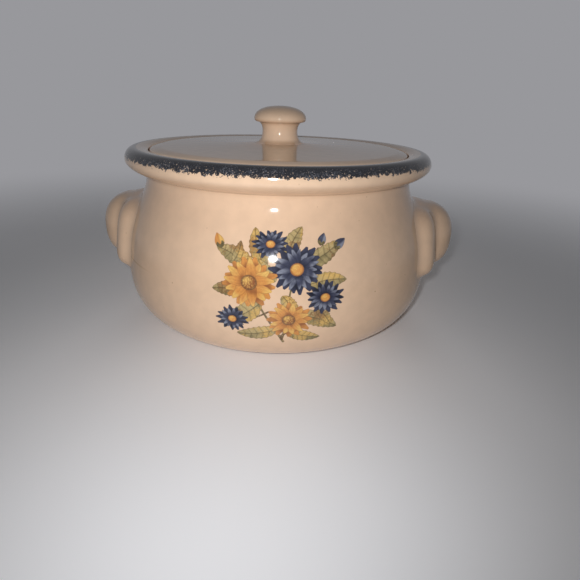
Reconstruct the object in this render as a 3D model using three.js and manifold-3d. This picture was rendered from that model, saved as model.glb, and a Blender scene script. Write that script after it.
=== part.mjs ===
// Lidded stoneware bean pot, in millimetres, +Z up, standing on z = 0 with its axis on Z.
// The two lug handles lie along X and the decorated front faces -Y.
import * as THREE from "three";
import { mergeVertices } from "three/addons/utils/BufferGeometryUtils.js";
import Module from "manifold-3d";

// Driving dimensions of the body.
const BELLY_RADIUS = 113.3;
const BELLY_HEIGHT = 38;
const FOOT_INSET = 33.3;
const FOOT_WIDTH = 9;
const FOOT_RECESS = 2;
const NECK_INSET = 17.9;
const SHOULDER_RISE = 66.3;
const WALL = 7.6;
const NECK_WALL = 8.4;
const FLOOR = 9;
const LOWER_FULLNESS = 2.25;

// Driving dimensions of the rolled rim and the ledge that carries the lid.
const RIM_OVERHANG = 13;
const RIM_RISE = 16.7;
const ROLL_WIDTH = 6.75;
const ROLL_DROP = 7.5;
const LIP_DROP = 1.8;
const LEDGE_WIDTH = 7;
const LEDGE_DEPTH = 9;

// Driving dimensions of the lid and its knob.
const LID_EDGE = 8.2;
const LID_RISE = 3.2;
const LID_ROUNDING = 1.4;
const LID_BORDER = 7;
const LID_DISH = 1.6;
const KNOB_HEIGHT = 25;
const KNOB_RADIUS = 18.6;
const KNOB_WAIST = 12.6;
const KNOB_FLANGE = 0.8;

// Driving dimensions of a lug handle: a leaning pad on the belly and the grip that stands out of it.
const GRIP_REACH = 19.5;
const GRIP_DEPTH = 20;
const GRIP_WIDTH = 56;
const GRIP_HEIGHT = 47.5;
const GRIP_FULLNESS = 2.5;
const PAD_REACH = 1.4;
const PAD_DEPTH = 21;
const PAD_WIDTH = 102;
const PAD_HEIGHT = 48;
const PAD_LEAN = 5;
const PAD_FULLNESS = 4;
const PAD_TAPER = 0.13;
const LUG_RISE = 22.5;

// Shape factors: shares of the sizes above that place the handles of the curves.
const SHOULDER_HOLD = 0.637;
const NECK_HOLD = 0.285;
const NECK_FLARE = -0.038;
const COVE_REACH = 0.393;
const COVE_RISE = 0.072;
const COLLAR_HOLD = 0.438;
const ROUND_HOLD = 0.56;
const LIP_HOLD = 0.5;
const LIP_EASE = 0.3;
const LIP_RISE = 0.6;
const SEAT_LAP = 0.4;
const BORDER_RISE = 0.28;
const BORDER_HOLD = 0.35;
const TOP_PLAIN = [0.6, 0.44];
const TOP_HOLLOW = [0.38, 0.53];
const WAIST_HEIGHT = 0.34;
const WAIST_HOLD = 0.16;
const WAIST_FLARE = 1.15;
const CAP_HEIGHT = 0.35;
const CAP_THICKNESS = 0.08;
const CAP_FULLNESS = 2.2;
const CAP_LIP = 0.9;

// Clearances.
const LID_CLEARANCE = 1.2;
const LUTING_GAP = 0.35;

// Facets round the axis, along curves and round the lobes.
const BODY_SEGMENTS = 64;
const KNOB_SEGMENTS = 40;
const CURVE_STEPS = 6;
const LOBE_SEGMENTS = 40;
const LOBE_RINGS = 20;

// Sizes that follow from the driving dimensions.
const FOOT_RADIUS = BELLY_RADIUS - FOOT_INSET;
const NECK_RADIUS = BELLY_RADIUS - NECK_INSET;
const NECK_HEIGHT = BELLY_HEIGHT + SHOULDER_RISE;
const RIM_RADIUS = NECK_RADIUS + RIM_OVERHANG;
const RIM_TOP = NECK_HEIGHT + RIM_RISE;
const ROLL_HEIGHT = RIM_TOP - ROLL_DROP;
const CREST_RADIUS = RIM_RADIUS - ROLL_WIDTH;
const LEDGE_HEIGHT = RIM_TOP - LEDGE_DEPTH;
const MOUTH_RADIUS = NECK_RADIUS - NECK_WALL - LID_CLEARANCE;
const GALLERY_RADIUS = MOUTH_RADIUS + LEDGE_WIDTH;
const LID_RADIUS = GALLERY_RADIUS - LID_CLEARANCE;
const LID_EDGE_TOP = LEDGE_HEIGHT + LID_EDGE;
const KNOB_SEAT = LID_EDGE_TOP + LID_RISE;
const KNOB_TOP = KNOB_SEAT + KNOB_HEIGHT;

const wasm = await Module();
wasm.setup();

const point = (radius, height) => new THREE.Vector2(radius, height);

// Points of a cubic curve, without its first point.
function curve(start, leaving, arriving, end, steps = CURVE_STEPS) {
  return new THREE.CubicBezierCurve(start, leaving, arriving, end).getPoints(steps).slice(1);
}

// Quarter of a superellipse about a corner, from one axis to the other, without its first point.
function quarter(corner, reach, rise, fullness, steps = CURVE_STEPS) {
  const points = [];
  for (let i = 1; i <= steps; i++) {
    const angle = (i / steps) * (Math.PI / 2);
    const across = Math.sin(angle) ** (2 / fullness);
    const along = Math.cos(angle) ** (2 / fullness);
    points.push(point(corner.x + reach * across, corner.y + rise * along));
  }
  points[steps - 1].y = corner.y;
  return points;
}

// Outside of the body from the edge of the foot up to the neck crease, grown outwards by a gap.
function bodyOutside(gap = 0) {
  const foot = point(FOOT_RADIUS, BELLY_HEIGHT);
  const belly = point(BELLY_RADIUS, BELLY_HEIGHT);
  const neck = point(NECK_RADIUS, NECK_HEIGHT);
  const low = quarter(foot, FOOT_INSET, -BELLY_HEIGHT, LOWER_FULLNESS, CURVE_STEPS + CURVE_STEPS / 2);
  const high = curve(
    belly,
    point(BELLY_RADIUS, BELLY_HEIGHT + SHOULDER_RISE * SHOULDER_HOLD),
    point(NECK_RADIUS + NECK_INSET * NECK_FLARE, NECK_HEIGHT - SHOULDER_RISE * NECK_HOLD),
    neck,
    CURVE_STEPS + CURVE_STEPS / 2,
  );
  return [point(FOOT_RADIUS, 0), ...low, ...high].map((p) => point(p.x + gap, p.y));
}

// Collar, rolled rim and sloping inner lip, from the neck crease to the ledge's outer wall.
function rimOutside() {
  const neck = point(NECK_RADIUS, NECK_HEIGHT);
  const widest = point(RIM_RADIUS, ROLL_HEIGHT);
  const crest = point(CREST_RADIUS, RIM_TOP);
  const lip = point(GALLERY_RADIUS, RIM_TOP - LIP_DROP);
  const collar = curve(
    neck,
    point(NECK_RADIUS + RIM_OVERHANG * COVE_REACH, NECK_HEIGHT + RIM_RISE * COVE_RISE),
    point(RIM_RADIUS, ROLL_HEIGHT - ROLL_DROP * COLLAR_HOLD),
    widest,
  );
  const roll = curve(
    widest,
    point(RIM_RADIUS, ROLL_HEIGHT + ROLL_DROP * ROUND_HOLD),
    point(CREST_RADIUS + ROLL_WIDTH * ROUND_HOLD, RIM_TOP),
    crest,
  );
  const slope = curve(
    crest,
    point(CREST_RADIUS - ROLL_WIDTH * LIP_HOLD, RIM_TOP),
    point(GALLERY_RADIUS + ROLL_WIDTH * LIP_EASE, lip.y + LIP_DROP * LIP_RISE),
    lip,
  );
  return [...collar, ...roll, ...slope];
}

// Inside of the body from the ledge's inner edge down to the middle of the floor.
function bodyInside() {
  const inner = BELLY_RADIUS - WALL;
  const mouth = point(MOUTH_RADIUS, NECK_HEIGHT);
  const belly = point(inner, BELLY_HEIGHT);
  const shoulder = curve(
    mouth,
    point(MOUTH_RADIUS, NECK_HEIGHT - SHOULDER_RISE * NECK_HOLD),
    point(inner, BELLY_HEIGHT + SHOULDER_RISE * SHOULDER_HOLD),
    belly,
  );
  const corner = point(FOOT_RADIUS - FLOOR, BELLY_HEIGHT);
  const low = quarter(corner, inner - corner.x, FLOOR - BELLY_HEIGHT, LOWER_FULLNESS).reverse().slice(1);
  return [mouth, ...shoulder, ...low, point(corner.x, FLOOR), point(0, FLOOR)];
}

// Solid of revolution about Z from a profile that starts and ends on the axis.
function turned(profile, segments) {
  return new THREE.LatheGeometry(profile, segments).rotateX(Math.PI / 2);
}

// Closed solid for the boolean operations.
function solid(geometry) {
  const bare = geometry.clone();
  bare.deleteAttribute("normal");
  bare.deleteAttribute("uv");
  const merged = mergeVertices(bare);
  return new wasm.Manifold(
    new wasm.Mesh({
      numProp: 3,
      vertProperties: merged.getAttribute("position").array,
      triVerts: new Uint32Array(merged.index.array),
    }),
  );
}

// Geometry of a finished solid, with flat shading.
function shell(made) {
  const mesh = made.getMesh();
  const geometry = new THREE.BufferGeometry();
  geometry.setAttribute("position", new THREE.BufferAttribute(new Float32Array(mesh.vertProperties), 3));
  geometry.setIndex(new THREE.BufferAttribute(new Uint32Array(mesh.triVerts), 1));
  const flat = geometry.toNonIndexed();
  flat.computeVertexNormals();
  return flat;
}

// Rounded lobe: a ball drawn out to its depth, width and height, squared off by its fullness
// and made narrower towards the top by its taper.
function lobe(depth, width, height, fullness, taper = 0) {
  const ball = new THREE.SphereGeometry(1, LOBE_SEGMENTS, LOBE_RINGS).rotateX(Math.PI / 2);
  const position = ball.getAttribute("position");
  const p = new THREE.Vector3();
  for (let i = 0; i < position.count; i++) {
    p.fromBufferAttribute(position, i);
    const sum = Math.abs(p.x) ** fullness + Math.abs(p.y) ** fullness + Math.abs(p.z) ** fullness;
    p.multiplyScalar(sum ** (-1 / fullness));
    position.setXYZ(i, p.x, p.y * (1 - taper * p.z), p.z);
  }
  return ball.scale(depth, width / 2, height / 2);
}

// Lug on the +X side: pad and grip in one, hollowed at the back to fit the belly.
function lugGeometry() {
  const height = BELLY_HEIGHT + LUG_RISE;
  const grip = lobe(GRIP_DEPTH, GRIP_WIDTH, GRIP_HEIGHT, GRIP_FULLNESS);
  grip.translate(BELLY_RADIUS + GRIP_REACH - GRIP_DEPTH, 0, height);
  const pad = lobe(PAD_DEPTH, PAD_WIDTH, PAD_HEIGHT, PAD_FULLNESS, PAD_TAPER);
  pad.rotateY(-THREE.MathUtils.degToRad(PAD_LEAN));
  pad.translate(BELLY_RADIUS + PAD_REACH - PAD_DEPTH, 0, height);
  const outside = bodyOutside(LUTING_GAP);
  const top = outside[outside.length - 1];
  const core = turned([point(0, 0), ...outside, point(0, top.y)], BODY_SEGMENTS);
  return shell(solid(grip).add(solid(pad)).subtract(solid(core)));
}

function glaze(colour, roughness) {
  return new THREE.MeshStandardMaterial({ color: colour, roughness, metalness: 0 });
}

function piece(name, geometry, material) {
  const mesh = new THREE.Mesh(geometry, material);
  mesh.name = name;
  return mesh;
}

// Body: foot ring with a shallow recess, belly, neck, rim, ledge and inside.
const bodyProfile = [
  point(0, FOOT_RECESS),
  point(FOOT_RADIUS - FOOT_WIDTH - FOOT_RECESS, FOOT_RECESS),
  point(FOOT_RADIUS - FOOT_WIDTH, 0),
  ...bodyOutside(),
  ...rimOutside(),
  point(GALLERY_RADIUS, LEDGE_HEIGHT),
  point(MOUTH_RADIUS, LEDGE_HEIGHT),
  ...bodyInside(),
];

// Lid: dished underneath, flat where it meets the ledge, rising on top to a flat boss for the knob.
const lidSeatInner = MOUTH_RADIUS - LEDGE_WIDTH * SEAT_LAP;
const lidSide = point(LID_RADIUS, LID_EDGE_TOP - LID_ROUNDING);
const lidBorder = point(LID_RADIUS - LID_BORDER, LID_EDGE_TOP + LID_RISE * BORDER_RISE);
const lidProfile = [
  point(0, LEDGE_HEIGHT + LID_DISH),
  point(lidSeatInner - LID_DISH, LEDGE_HEIGHT + LID_DISH),
  point(lidSeatInner, LEDGE_HEIGHT),
  point(LID_RADIUS - LID_ROUNDING, LEDGE_HEIGHT),
  point(LID_RADIUS, LEDGE_HEIGHT + LID_ROUNDING),
  lidSide,
  ...curve(
    lidSide,
    point(LID_RADIUS, lidSide.y + LID_ROUNDING * ROUND_HOLD),
    point(LID_RADIUS - LID_BORDER * BORDER_HOLD, LID_EDGE_TOP),
    lidBorder,
  ),
  ...curve(
    lidBorder,
    point(LID_RADIUS * TOP_PLAIN[0], LID_EDGE_TOP + LID_RISE * TOP_PLAIN[1]),
    point(LID_RADIUS * TOP_HOLLOW[0], LID_EDGE_TOP + LID_RISE * TOP_HOLLOW[1]),
    point(KNOB_RADIUS, KNOB_SEAT),
  ),
  point(0, KNOB_SEAT),
];

// Knob: thin flange, waisted stem and domed cap.
const flange = point(KNOB_RADIUS, KNOB_SEAT + KNOB_FLANGE);
const waist = point(KNOB_WAIST, KNOB_SEAT + KNOB_HEIGHT * WAIST_HEIGHT);
const cap = point(KNOB_RADIUS, KNOB_TOP - KNOB_HEIGHT * CAP_HEIGHT);
const capUnder = point(KNOB_RADIUS * CAP_LIP, cap.y - KNOB_HEIGHT * CAP_THICKNESS);
const knobProfile = [
  point(0, KNOB_SEAT),
  point(KNOB_RADIUS, KNOB_SEAT),
  flange,
  ...curve(
    flange,
    point(KNOB_WAIST * WAIST_FLARE, flange.y + KNOB_FLANGE),
    point(KNOB_WAIST, waist.y - KNOB_HEIGHT * WAIST_HOLD),
    waist,
  ),
  ...curve(
    waist,
    point(KNOB_WAIST, waist.y + KNOB_HEIGHT * WAIST_HOLD),
    point(KNOB_WAIST * WAIST_FLARE, capUnder.y),
    capUnder,
  ),
  ...curve(
    capUnder,
    point(capUnder.x + (cap.x - capUnder.x) * ROUND_HOLD, capUnder.y),
    point(cap.x, cap.y - (cap.y - capUnder.y) * ROUND_HOLD),
    cap,
    CURVE_STEPS / 2,
  ),
  ...quarter(point(0, cap.y), KNOB_RADIUS, KNOB_TOP - cap.y, CAP_FULLNESS).reverse().slice(1),
  point(0, KNOB_TOP),
];

// Warm tan glaze.
const TAN = 0xd9b891;
const GLOSS = 0.22;
const lug = lugGeometry();

const pot = new THREE.Group();
pot.name = "pot";
pot.add(piece("pot_body", turned(bodyProfile, BODY_SEGMENTS), glaze(TAN, GLOSS)));
pot.add(piece("right_handle", lug, glaze(TAN, GLOSS)));
const leftHandle = piece("left_handle", lug, glaze(TAN, GLOSS));
leftHandle.rotation.z = Math.PI;
pot.add(leftHandle);

const lid = new THREE.Group();
lid.name = "lid_group";
lid.add(piece("lid", turned(lidProfile, BODY_SEGMENTS), glaze(TAN, GLOSS)));
lid.add(piece("lid_knob", turned(knobProfile, KNOB_SEGMENTS), glaze(TAN, GLOSS)));

const beanPot = new THREE.Group();
beanPot.name = "bean_pot";
beanPot.add(pot, lid);

export default beanPot;
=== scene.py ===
"""Bean pot add-on: builds the glazed pieces of a lidded bean pot, its painted spray and a studio floor."""

import math

import bpy
import numpy as np
from bpy.props import FloatProperty, FloatVectorProperty, IntProperty, PointerProperty
from mathutils import Matrix, Vector


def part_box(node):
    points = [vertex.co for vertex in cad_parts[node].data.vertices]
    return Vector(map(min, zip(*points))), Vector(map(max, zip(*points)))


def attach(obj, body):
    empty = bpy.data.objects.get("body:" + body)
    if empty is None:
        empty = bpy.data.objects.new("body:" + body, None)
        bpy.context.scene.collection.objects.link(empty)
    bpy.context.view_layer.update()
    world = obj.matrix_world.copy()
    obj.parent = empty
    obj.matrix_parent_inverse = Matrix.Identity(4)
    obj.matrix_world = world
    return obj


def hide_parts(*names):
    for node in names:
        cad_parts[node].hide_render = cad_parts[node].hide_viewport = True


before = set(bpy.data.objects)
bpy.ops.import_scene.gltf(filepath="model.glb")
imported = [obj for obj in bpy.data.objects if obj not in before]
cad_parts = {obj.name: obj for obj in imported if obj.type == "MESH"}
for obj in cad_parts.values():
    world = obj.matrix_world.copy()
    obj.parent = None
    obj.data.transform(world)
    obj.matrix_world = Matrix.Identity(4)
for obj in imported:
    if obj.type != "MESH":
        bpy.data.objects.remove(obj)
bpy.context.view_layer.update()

bl_info = {
    "name": "Glazed Bean Pot",
    "version": (1, 0, 0),
    "blender": (4, 5, 0),
    "location": "3D View > Sidebar > Bean Pot",
    "description": "Builds the glazed pieces of a lidded bean pot, its painted spray and a studio floor",
    "category": "Object",
}

BODY_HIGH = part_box("pot_body")[1]
LUG_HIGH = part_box("right_handle")[1]
LID_LOW, LID_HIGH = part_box("lid")
KNOB_LOW, KNOB_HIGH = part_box("lid_knob")
MM = 0.001

# Room for the print inside the solids' box, glaze on the lid's edge and on the wall round it, and how far
# below the belly's skin the fillet of a lug ends.
PRINT_ROOM = 0.05 * MM
GLAZE_COAT = 0.3 * MM
LUG_BITE = 0.3 * MM

# Shares of the sizes that place the handles of the curves.
SHOULDER_HOLD = 0.637
NECK_HOLD = 0.285
NECK_FLARE = -0.038
COVE_REACH = 0.393
COVE_RISE = 0.072
COLLAR_HOLD = 0.60
ROUND_HOLD = 0.56
LIP_HOLD = 0.5
LIP_EASE = 0.3
LIP_RISE = 0.6
BORDER_HOLD = 0.35
TOP_PLAIN = (0.6, 0.44)
TOP_HOLLOW = (0.38, 0.53)
FOOT_SPREAD = (0.78, 0.05)
FOOT_HOLD = 0.62
STEM_HOLD = 0.47
STEM_FLARE = 1.15
CAP_UNDER = 0.9
CAP_ROUND = (0.056, 0.44)

# Pooling of the glaze: how many steps of the outline are averaged, the spread of their weights, and the
# radius of a hollow that fills wholly.
POOL_REACH = 60
POOL_SPREAD = 14
POOL_RADIUS = 3.0 * MM

# Lug surface: how far its middle lies outside the belly, how its lines spread from +X to -X (linear and cubic
# share), the step, the steps along a line and the halvings at its end.
LUG_HEART = 1.5 * MM
LUG_LINES = (0.72, 0.28)
LUG_STRIDE = 0.4 * MM
LUG_STEPS = 220
LUG_HALVINGS = 24

# Shares: end of the belly's fillet and width of the pooled glaze and painted shade in the groove (of the
# fillets), depth of a lug's root (of the wall), and where the pad's taper stops (of its half height).
FILLET_END = 1.15
GROOVE_POOL_AND_SHADE = 1.6
ROOT_DEPTH = 0.55
TAPER_END = 1.5

# Bare clay: how near a row lies to the ground, to the ledge or to the lid's seat.
GROUND_NEAR = 0.25 * MM
LEDGE_NEAR = 0.3 * MM
SEAT_NEAR = 0.2 * MM

# Knob: longest step between rows, where the stem is painted paler with the thin glaze as painted light
# (shares of the waist), and how much.
KNOB_STEP = 0.9 * MM
STEM_LIT_SPAN = (1.25, 1.05)
STEM_PAINTED_LIGHT = 0.9

# Painted patch: soft edge of a painted shape in millimetres, least cover of a face that is kept, size of the
# lattice of random values and the cell where it starts.
PAINT_EDGE = (-0.1, 0.14)
LEAST_COVER = 0.002
LATTICE = (97, 89)
LATTICE_START = 500

# Faint darker line round the belly's -X side, in the pooled glaze's colour: its height, its soft edge and
# where along X it comes in.
DARK_LINE_HEIGHT = 51.0 * MM
DARK_LINE_EDGE = (0.75 * MM, 0.2 * MM)
DARK_LINE_SIDE = (-72.0 * MM, -96.0 * MM)

# Sponged band, outwards along the outline from the rim's crest: soft outer and inner edge, where it wears
# thin, and how far dabs and crumbs of the sponge move its outer edge.
BAND_OUTER = (9.2 * MM, 8.8 * MM)
BAND_INNER = (-1.6 * MM, -0.6 * MM)
BAND_WEAR = (1.0 * MM, 7.0 * MM)
DAB_REACH = 6.4 * MM
CRUMB_REACH = 4.4 * MM

# Stage: rings and sides of the floor, its innermost ring, how far it lies under the foot, and the camera's
# frame width in millimetres and clip distances.
FLOOR_RINGS = 60
FLOOR_SIDES = 96
FLOOR_CORE = 0.02
FLOOR_DROP = 0.1 * MM
FRAME_WIDTH = 36.0
CLIP = (0.01, 20.0)


# Values that a user may change.

def length(name, description, default):
    """A size in metres."""
    return FloatProperty(
        name=name, description=description, default=default, min=0.0, precision=4, unit="LENGTH"
    )


def factor(name, description, default, low=0.0, high=10.0):
    """A plain number."""
    return FloatProperty(name=name, description=description, default=default, min=low, max=high)


def angle(name, description, degrees):
    """An angle, given here in degrees."""
    return FloatProperty(
        name=name, description=description, default=math.radians(degrees), subtype="ANGLE"
    )


def linear(red, green, blue):
    """Screen colour from 0 to 255 as the linear light that shaders use."""
    screen = np.array([red, green, blue]) / 255
    return np.where(screen <= 0.04045, screen / 12.92, ((screen + 0.055) / 1.055) ** 2.4)


def colour(name, description, red, green, blue):
    """A colour, given here as it looks on the screen."""
    return FloatVectorProperty(
        name=name, description=description, subtype="COLOR", size=3, min=0.0, max=1.0,
        default=tuple(float(c) for c in linear(red, green, blue)),
    )


def place(name, description, point):
    """A point of the scene, in metres."""
    return FloatVectorProperty(
        name=name, description=description, subtype="TRANSLATION", size=3, default=point, precision=4
    )


class BodySizes(bpy.types.PropertyGroup):
    """Sizes of the pot body."""

    belly_radius: length("Belly radius", "Radius where the belly is widest", BODY_HIGH.y - PRINT_ROOM)
    belly_height: length("Belly height", "Height where the belly is widest", 38.0 * MM)
    lower_fullness: factor("Lower fullness", "How square the lower belly is", 2.25, 2.0, 6.0)
    foot_radius: length("Foot radius", "Outside radius of the foot", 80.0 * MM)
    foot_width: length("Foot width", "Width of the ring that the pot stands on", 9.0 * MM)
    foot_recess: length("Foot recess", "Depth of the recess inside the foot ring", 2.0 * MM)
    neck_radius: length("Neck radius", "Radius in the crease under the rim", 95.4 * MM)
    neck_height: length("Neck height", "Height of the crease under the rim", 104.3 * MM)
    rim_radius: length("Rim radius", "Radius where the rolled rim is widest", 108.4 * MM)
    rim_top: length("Rim top", "Height of the rim's crest", BODY_HIGH.z)
    roll_width: length("Roll width", "Width of the rim's rounded edge", 6.75 * MM)
    roll_drop: length("Roll drop", "Height of the rim's rounded edge", 7.5 * MM)
    lip_drop: length("Lip drop", "How far the rim falls from its crest to the lid", 1.8 * MM)
    gallery_radius: length(
        "Gallery radius", "Radius of the wall that the lid drops into", 92.8 * MM - GLAZE_COAT
    )
    ledge_height: length("Ledge height", "Height of the ledge that carries the lid", LID_LOW.z)
    mouth_radius: length("Mouth radius", "Radius of the opening inside the ledge", 85.8 * MM)
    wall: length("Wall", "Thickness of the belly wall", 7.6 * MM)
    floor: length("Floor", "Thickness of the floor", 9.0 * MM)
    softness: length("Softness", "How far the glaze rounds each edge and crease", 0.55 * MM)
    segments: IntProperty(name="Segments", description="Faces round the pot", default=192, min=32, max=360)


class LugSizes(bpy.types.PropertyGroup):
    """Sizes of the lug handles."""

    height: length("Lug height", "Height of the middle of the lug", 60.5 * MM)
    grip_crest: length("Grip crest", "Distance of the grip's outermost point from the axis", LUG_HIGH.x)
    grip_depth: length("Grip depth", "Half depth of the grip's lobe", 20.0 * MM)
    grip_width: length("Grip width", "Width of the grip", 56.0 * MM)
    grip_height: length("Grip height", "Height of the grip", 47.5 * MM)
    grip_fullness: factor("Grip fullness", "How square the grip is", 2.5, 2.0, 8.0)
    pad_crest: length("Pad crest", "Distance of the pad's face from the axis", 114.7 * MM)
    pad_depth: length("Pad depth", "Half depth of the pad's lobe", 21.0 * MM)
    pad_width: length("Pad width", "Width of the pad", 102.0 * MM)
    pad_height: length("Pad height", "Height of the pad", 48.0 * MM)
    pad_fullness: factor("Pad fullness", "How square the pad is", 4.0, 2.0, 8.0)
    pad_taper: factor("Pad taper", "How much narrower the pad is at its top", 0.13, 0.0, 0.5)
    pad_lean: angle("Pad lean", "How far the pad's top leans towards the neck", 5.0)
    groove_blend: length("Groove blend", "Fillet between grip and pad", 7.0 * MM)
    belly_blend: length("Belly blend", "Fillet between pad and belly", 4.2 * MM)


class LidSizes(bpy.types.PropertyGroup):
    """Sizes of the lid and its knob."""

    radius: length("Lid radius", "Radius of the lid", LID_HIGH.x + GLAZE_COAT)
    edge_top: length("Edge top", "Height of the lid's upper edge", 120.2 * MM)
    rounding: length("Edge rounding", "Rounding of the lid's edges", 1.4 * MM)
    border: length("Border", "Width of the lid's sloping border", 7.0 * MM)
    border_top: length("Border top", "Height where the border meets the flat top", 121.1 * MM)
    dish: length("Dish", "Depth of the hollow under the lid", 1.6 * MM)
    seat_inner: length("Seat inner radius", "Inner radius of the lid's resting ring", 83.0 * MM)
    knob_radius: length("Knob radius", "Radius of the knob's cap and of its spread foot", KNOB_HIGH.x)
    knob_waist: length("Knob waist", "Radius of the knob's stem", 12.6 * MM)
    waist_height: length("Waist height", "Height of the stem's waist above the lid", 8.5 * MM)
    cap_height: length("Cap height", "Height of the cap's dome", 8.75 * MM)
    cap_edge: length("Cap edge", "Thickness of the cap's rounded edge", 2.0 * MM)
    cap_fullness: factor("Cap fullness", "How square the cap's dome is", 2.2, 1.5, 4.0)
    ripple: length("Ripple", "Spacing of the turning rings on the lid", 5.6 * MM)


class SpraySizes(bpy.types.PropertyGroup):
    """Place and paints of the flower spray on the belly."""

    bearing: angle("Bearing", "Direction of the spray's middle, seen from above", -86.5)
    height: length("Height", "Height of the spray's middle", 55.5 * MM)
    width: length("Width", "Width of the spray along the belly", 80.0 * MM)
    rise: length("Rise", "Height of the spray along the belly", 72.0 * MM)
    step: length("Step", "Distance between neighbouring points of the painted patch", 0.21 * MM)
    lift: length("Lift", "How far the print stands off the glaze", 0.04 * MM)
    gold: colour("Gold", "Paint of the petals' tips", 228, 184, 104)
    orange: colour("Orange", "Paint of the petals", 212, 146, 78)
    russet: colour("Russet", "Paint of the petals' base and the flower discs", 146, 90, 54)
    slate: colour("Slate", "Paint of the dark flowers", 62, 65, 86)
    ink: colour("Ink", "Paint of the dark flowers' shadows", 34, 36, 50)
    mist: colour("Mist", "Paint of the dark flowers' lights", 138, 142, 158)
    olive: colour("Olive", "Paint of the leaves", 134, 122, 84)
    khaki: colour("Khaki", "Paint of the leaves' lights", 190, 168, 118)
    moss: colour("Moss", "Paint of the veins and leaf edges", 82, 70, 48)
    bark: colour("Bark", "Paint of the stems", 100, 74, 54)


class GlazeColours(bpy.types.PropertyGroup):
    """Colours of glaze, bare clay and sponged slip."""

    tan: colour("Tan glaze", "Glaze of the whole pot", 228, 195, 165)
    # The pooled glaze also paints shade in the lugs' groove, and the thin glaze paints light on the knob's
    # stem.
    pooled: colour("Pooled glaze", "Glaze where it runs thick in a crease", 186, 146, 106)
    thin: colour("Thin glaze", "Glaze where it runs thin over an edge", 250, 218, 188)
    speck: colour("Iron speck", "Small specks in the glaze", 150, 112, 78)
    clay: colour("Bare clay", "Unglazed foot ring and lid seat", 214, 192, 162)
    slip: colour("Sponged slip", "Dark slip dabbed on the rim", 35, 36, 42)
    slip_light: colour("Thin slip", "Slip where the sponge left little", 92, 95, 104)


class StageSettings(bpy.types.PropertyGroup):
    """Camera, lamps, floor and background."""

    camera_place: place("Camera place", "Where the camera stands", (0.01757, -0.33525, 0.15419))
    camera_aim: place("Camera aim", "Point that the camera looks at", (0.0108, 0.0002, 0.0056))
    camera_roll: angle("Camera roll", "Turn of the camera about its line of sight", 1.76)
    lens: factor("Lens", "Focal length in millimetres on a 36 mm frame", 27.06, 10.0, 200.0)
    lamp_place: place("Lamp place", "Where the front lamp stands", (0.0006, -0.3360, 0.1660))
    lamp_aim: place("Lamp aim", "Point that the front lamp shines at", (-0.03, -0.05, 0.06))
    lamp_size: length("Lamp size", "Diameter of the front lamp", 17.0 * MM)
    lamp_power: factor("Lamp power", "Power of the front lamp in watts", 0.292, 0.0, 50.0)
    lamp_spread: angle("Lamp spread", "Width of the front lamp's beam", 130.0)
    back_place: place("Back lamp place", "Where the low soft lamp behind the pot stands", (0.0, 1.40, 0.16))
    back_size: length("Back lamp size", "Diameter of the back lamp", 0.50)
    back_power: factor("Back lamp power", "Power of the back lamp in watts", 7.0, 0.0, 50.0)
    fill: factor("Fill", "Strength of the soft light from all round", 0.05, 0.0, 2.0)
    floor_radius: length("Floor radius", "Radius of the floor", 4.0)
    floor_near: length("Plain floor", "Radius inside which the floor shows its own shading", 0.22)
    floor_far: length("Fading floor", "Radius where the floor has faded into the background", 0.80)
    floor_colour: colour("Floor colour", "Pale floor", 250, 251, 255)
    background: colour("Background", "Plain background", 152, 152, 156)


class BeanPotSettings(bpy.types.PropertyGroup):
    """All values of the bean pot."""

    body: PointerProperty(type=BodySizes)
    lug: PointerProperty(type=LugSizes)
    lid: PointerProperty(type=LidSizes)
    spray: PointerProperty(type=SpraySizes)
    glaze: PointerProperty(type=GlazeColours)
    stage: PointerProperty(type=StageSettings)


# Profiles and surfaces.

def cubic(start, leaving, arriving, end, count=80):
    """Cubic curve: its four points weighted by (1-t)^3, 3t(1-t)^2, 3t^2(1-t) and t^3, for t from 0 to 1."""
    t = np.linspace(0, 1, count)[:, None]
    points = [np.array(p, float) for p in (start, leaving, arriving, end)]
    weights = [(1 - t) ** 3, 3 * t * (1 - t) ** 2, 3 * t ** 2 * (1 - t), t ** 3]
    return sum(w * p for w, p in zip(weights, points))


def quarter(corner, reach, rise, fullness, count=80):
    """Quarter of a superellipse: corner plus reach times sin^(2/n) and rise times cos^(2/n) of an angle."""
    turn = np.linspace(0, math.pi / 2, count)
    across, along = np.sin(turn) ** (2 / fullness), np.abs(np.cos(turn)) ** (2 / fullness)
    return np.stack([corner[0] + reach * across, corner[1] + rise * along], 1)


def body_outside(body):
    """Outside of the belly, from the foot up to the neck: a superellipse quarter, then a cubic ogee."""
    rise = body.neck_height - body.belly_height
    inset = body.belly_radius - body.neck_radius
    low = quarter(
        (body.foot_radius, body.belly_height), body.belly_radius - body.foot_radius,
        -body.belly_height, body.lower_fullness,
    )
    high = cubic(
        (body.belly_radius, body.belly_height),
        (body.belly_radius, body.belly_height + SHOULDER_HOLD * rise),
        (body.neck_radius + NECK_FLARE * inset, body.neck_height - NECK_HOLD * rise),
        (body.neck_radius, body.neck_height),
    )
    return np.concatenate([low, high[1:]])


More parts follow.
